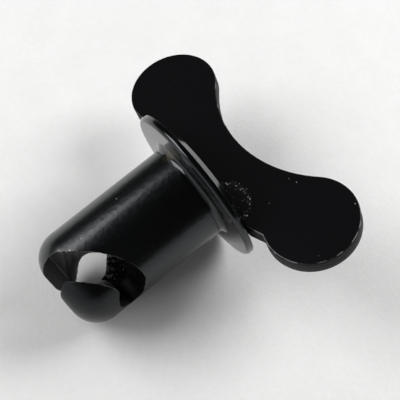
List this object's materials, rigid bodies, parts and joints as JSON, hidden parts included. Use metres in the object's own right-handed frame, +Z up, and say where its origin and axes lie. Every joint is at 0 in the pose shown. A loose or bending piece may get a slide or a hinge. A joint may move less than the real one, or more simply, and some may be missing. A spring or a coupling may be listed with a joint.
{
  "type": "quarter turn fastener",
  "caption": "Wing-head stud of a quarter turn fastener: a flanged round shank with a helical cam slot through its tip, turned by hand with a flat two-lobed wing.",
  "frame": {"origin": "on the surface that the fastener lies on, under the middle of its bounding box", "axes": "+X along the stud from its tip towards the wing, seen from above; +Y across the wing; +Z up. The stud's own axis rises 13.6 degrees towards the wing, as it lies on the rim of its flange and the round of its tip."},
  "size_m": [0.0301, 0.0348, 0.0183],
  "materials": {
    "stud_steel": "black oxide over turned steel, satin, with a soft sheen",
    "wing_steel": "black oxide over stamped plate, smooth and slightly glossy"
  },
  "bodies": {
    "root": {"stud": "stud_steel", "wing": "wing_steel"}
  },
  "joints": []
}
